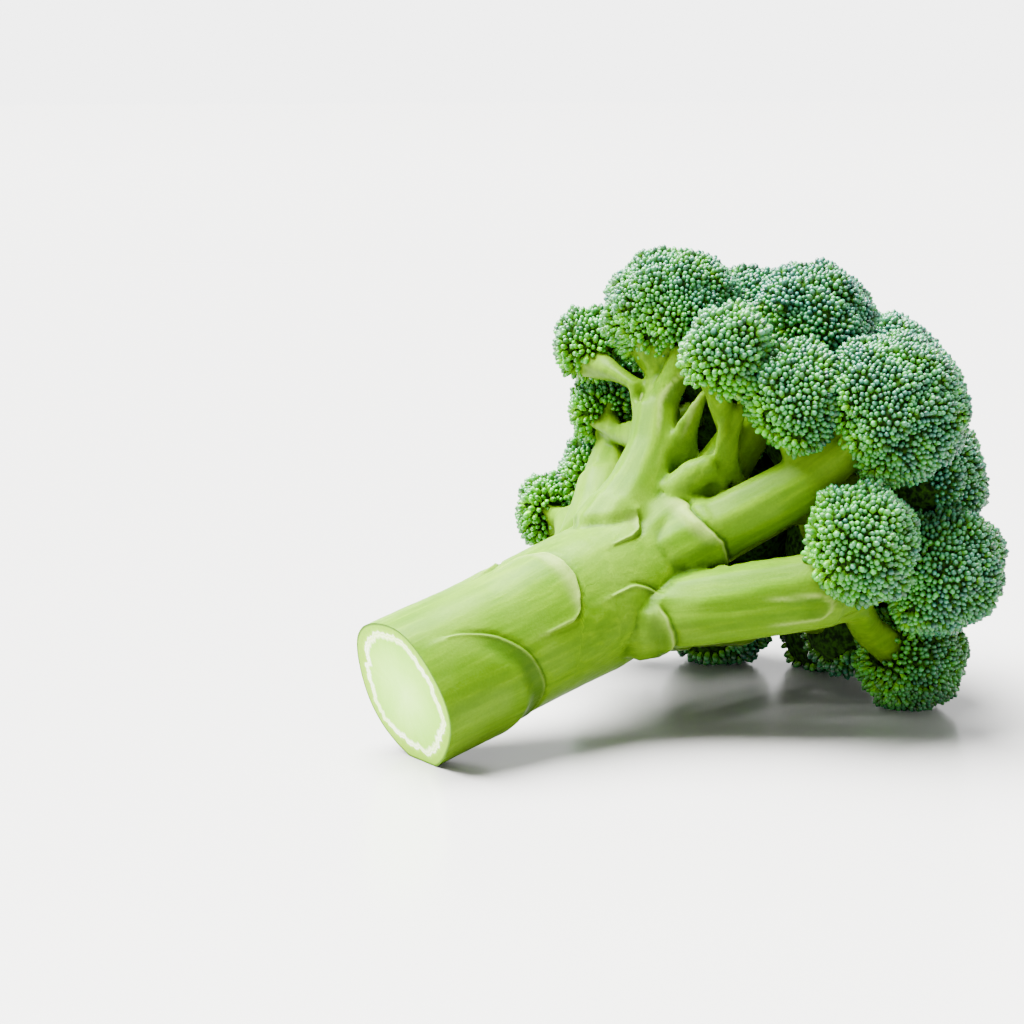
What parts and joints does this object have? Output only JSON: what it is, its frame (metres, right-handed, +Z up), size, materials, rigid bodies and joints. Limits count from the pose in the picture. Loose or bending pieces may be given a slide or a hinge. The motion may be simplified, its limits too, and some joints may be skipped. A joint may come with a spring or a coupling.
{
  "type": "broccoli head",
  "caption": "Whole head of broccoli with its thick cut stalk, forking branches and a domed crown of tight-budded florets, lying on its side.",
  "frame": {"origin": "middle of the head's footprint, on the surface that it lies on", "axes": "+Z up; +X along the head, from the cut end of the stalk towards the crown; -Y is the side that the picture shows"},
  "size_m": [0.1876, 0.1448, 0.1259],
  "materials": {
    "stalk": "satin skin of a fresh stalk, pale yellow-green, with fine long fibres",
    "florets": "closed flower buds with a waxy bloom, dark blue-green, yellow-green between them"
  },
  "bodies": {
    "root": {"stalk": "stalk", "floret_upper": "florets", "floret_upper_front": "florets", "floret_upper_rear": "florets", "floret_front_inner": "florets", "floret_front": "florets", "floret_front_low": "florets", "floret_low": "florets", "floret_rest_near": "florets", "floret_far_top": "florets", "floret_far_upper": "florets", "floret_far_middle": "florets", "floret_far_edge": "florets", "floret_far_low": "florets", "floret_rest_far": "florets", "floret_rest_rear": "florets", "floret_under": "florets", "floret_rear_upper": "florets", "floret_rear_middle": "florets", "floret_crown_upper": "florets", "floret_crown_far": "florets", "floret_crown_edge": "florets", "floret_crown_low": "florets", "floret_crown_near": "florets", "floret_tip_near": "florets", "floret_tip_upper": "florets", "floret_tip_far": "florets", "floret_tip": "florets"}
  },
  "joints": []
}
